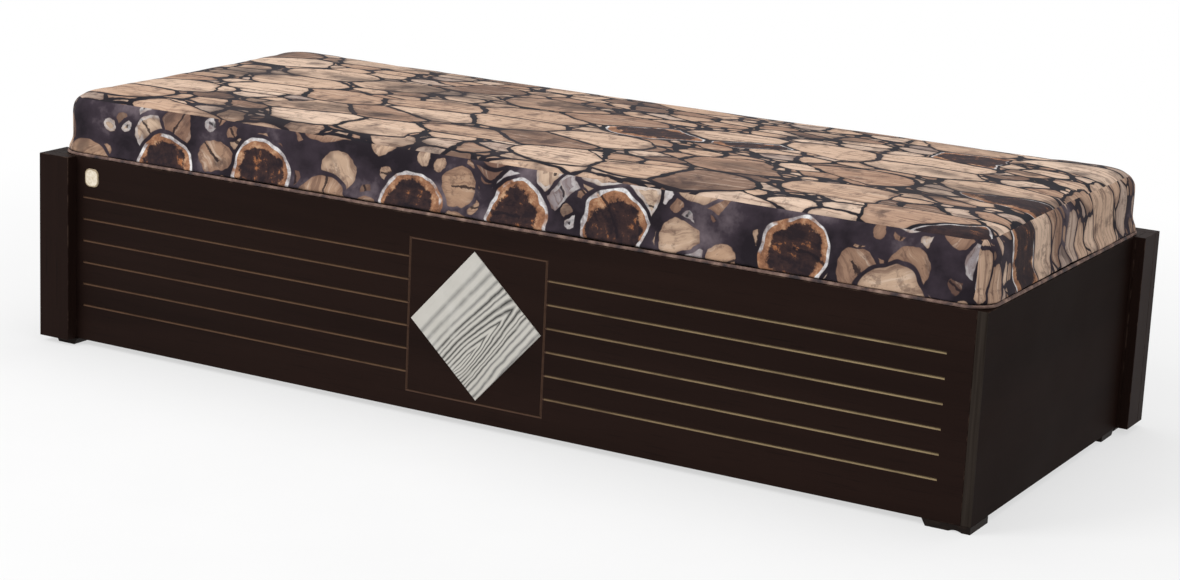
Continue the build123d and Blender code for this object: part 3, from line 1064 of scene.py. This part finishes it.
def white_to_camera(paint, ordinary, share):
    """Mixes a share of plain white over a shader, for the camera and for reflections only."""
    path = paint.node("ShaderNodeLightPath")
    seen_by = paint.out(path, "Is Camera Ray").most(paint.out(path, "Is Glossy Ray"))
    seen_by = seen_by.most(paint.out(path, "Is Transmission Ray")) * share
    kind = "ShaderNodeBackground" if paint.shader is None else "ShaderNodeEmission"
    white = paint.node(kind, {}, {"Color": (1, 1, 1, 1), "Strength": 1.0})
    both = paint.node("ShaderNodeMixShader", {}, {0: seen_by})
    paint.tree.links.new(ordinary.outputs[0], both.inputs[1])
    paint.tree.links.new(white.outputs[0], both.inputs[2])
    outputs = [node for node in paint.tree.nodes if node.type in ("OUTPUT_MATERIAL", "OUTPUT_WORLD")]
    paint.tree.links.new(both.outputs[0], outputs[0].inputs["Surface"])


floor_half = 30.0
near_white = 0.62  # share of plain white over the lit floor beside the bed
shadow_reach = (1.1, 2.4)  # distances from the middle where the floor starts to whiten, and is white


def floor_material():
    paint = new_paint("pale_floor")
    grain = paint.noise(paint.place(), 3.0, 3.0)
    colour = paint.ramp(grain, (0.3, seen(236, 236, 236)), (0.7, seen(240, 240, 240)))
    paint.finish(colour, 0.9 + grain * 0.05, None, Specular_IOR_Level=0.1)
    x, y, _ = paint.split(paint.place())
    out = paint.math("SQRT", x * x + y * y)
    white_to_camera(paint, paint.shader, near_white + paint.fade(out, *shadow_reach) * (1 - near_white))
    return paint.owner


floor_mesh = bpy.data.meshes.new("floor")
floor_corners = [(x * floor_half, y * floor_half, 0) for x, y in ((-1, -1), (1, -1), (1, 1), (-1, 1))]
floor_mesh.from_pydata(floor_corners, [], [(0, 1, 2, 3)])
floor = add_object("floor", floor_mesh)
floor.data.materials.append(floor_material())

world = bpy.data.worlds.new("sky")
bpy.context.scene.world = world
sky = Paint(world)
plain_sky = sky.tree.nodes["Background"]
plain_sky.inputs["Color"].default_value = (1, 1, 1, 1)
plain_sky.inputs["Strength"].default_value = 0.42
white_to_camera(sky, plain_sky, 1.0)
print("floor", 2 * floor_half, "m wide, sky", round(plain_sky.inputs["Strength"].default_value, 2))

# %% [markdown]
# ## Lamps
#
# The photograph is lit softly: shadows have no edge, and the end panel is darker than the front. Three square
# area lamps do it. A key from the front left gives the front its light, a weak fill keeps the end panel
# readable, and a large one overhead lights the mattress and makes the shadow on the floor.

# %% Lamps


def lamp(name, place, target, size, power):
    data = bpy.data.lights.new(name, "AREA")
    data.size = size
    data.energy = power
    made = add_object(name, data)
    made.location = place
    made.rotation_mode = "QUATERNION"
    made.rotation_quaternion = (Vector(target) - Vector(place)).to_track_quat("-Z", "Y")
    print("lamp", name, power, "W")


lamp("key", (-2.2, -3.4, 3.4), (0, 0, 0.3), 2.4, 120)
lamp("fill", (3.6, -2.6, 2.4), (0.2, 0, 0.3), 2.4, 22)
lamp("top", (0.3, 0.8, 4.2), (0, 0, 0.4), 3.0, 70)

# %% [markdown]
# ## Camera
#
# The camera stands where the photographer stood: to the right of the bed's front and a little above it. The
# place comes from matching grooves, edges and posts of the frame to the picture, and the lens from the same
# fit. Yaw is the turn away from looking straight along +Y, pitch is the way down, and roll is the picture's
# slight tilt.

# %% Camera
picture_width = 1180
focal_pixels = 2726.2
camera_place = (2.4401, -4.3509, 1.4189)
yaw, pitch, roll = (math.radians(v) for v in (29.12, 13.93, 2.66))

camera_data = bpy.data.cameras.new("camera")
camera_data.sensor_width = 36.0
camera_data.lens = focal_pixels / picture_width * camera_data.sensor_width
camera = add_object("camera", camera_data)
look = Vector((-math.sin(yaw) * math.cos(pitch), math.cos(yaw) * math.cos(pitch), -math.sin(pitch)))
side = look.cross(Vector((0, 0, 1))).normalized()
up = side.cross(look)
right = side * math.cos(roll) + up * math.sin(roll)
upward = up * math.cos(roll) - side * math.sin(roll)
turn = Matrix((right, upward, -look)).transposed().to_4x4()
camera.matrix_world = Matrix.Translation(camera_place) @ turn
bpy.context.scene.camera = camera
print("lens", round(camera_data.lens, 2), "mm")

# %% [markdown]
# ## Last steps
#
# Plain colour management shows colours as written.

# %% Finish
bpy.context.scene.view_settings.view_transform = "Standard"
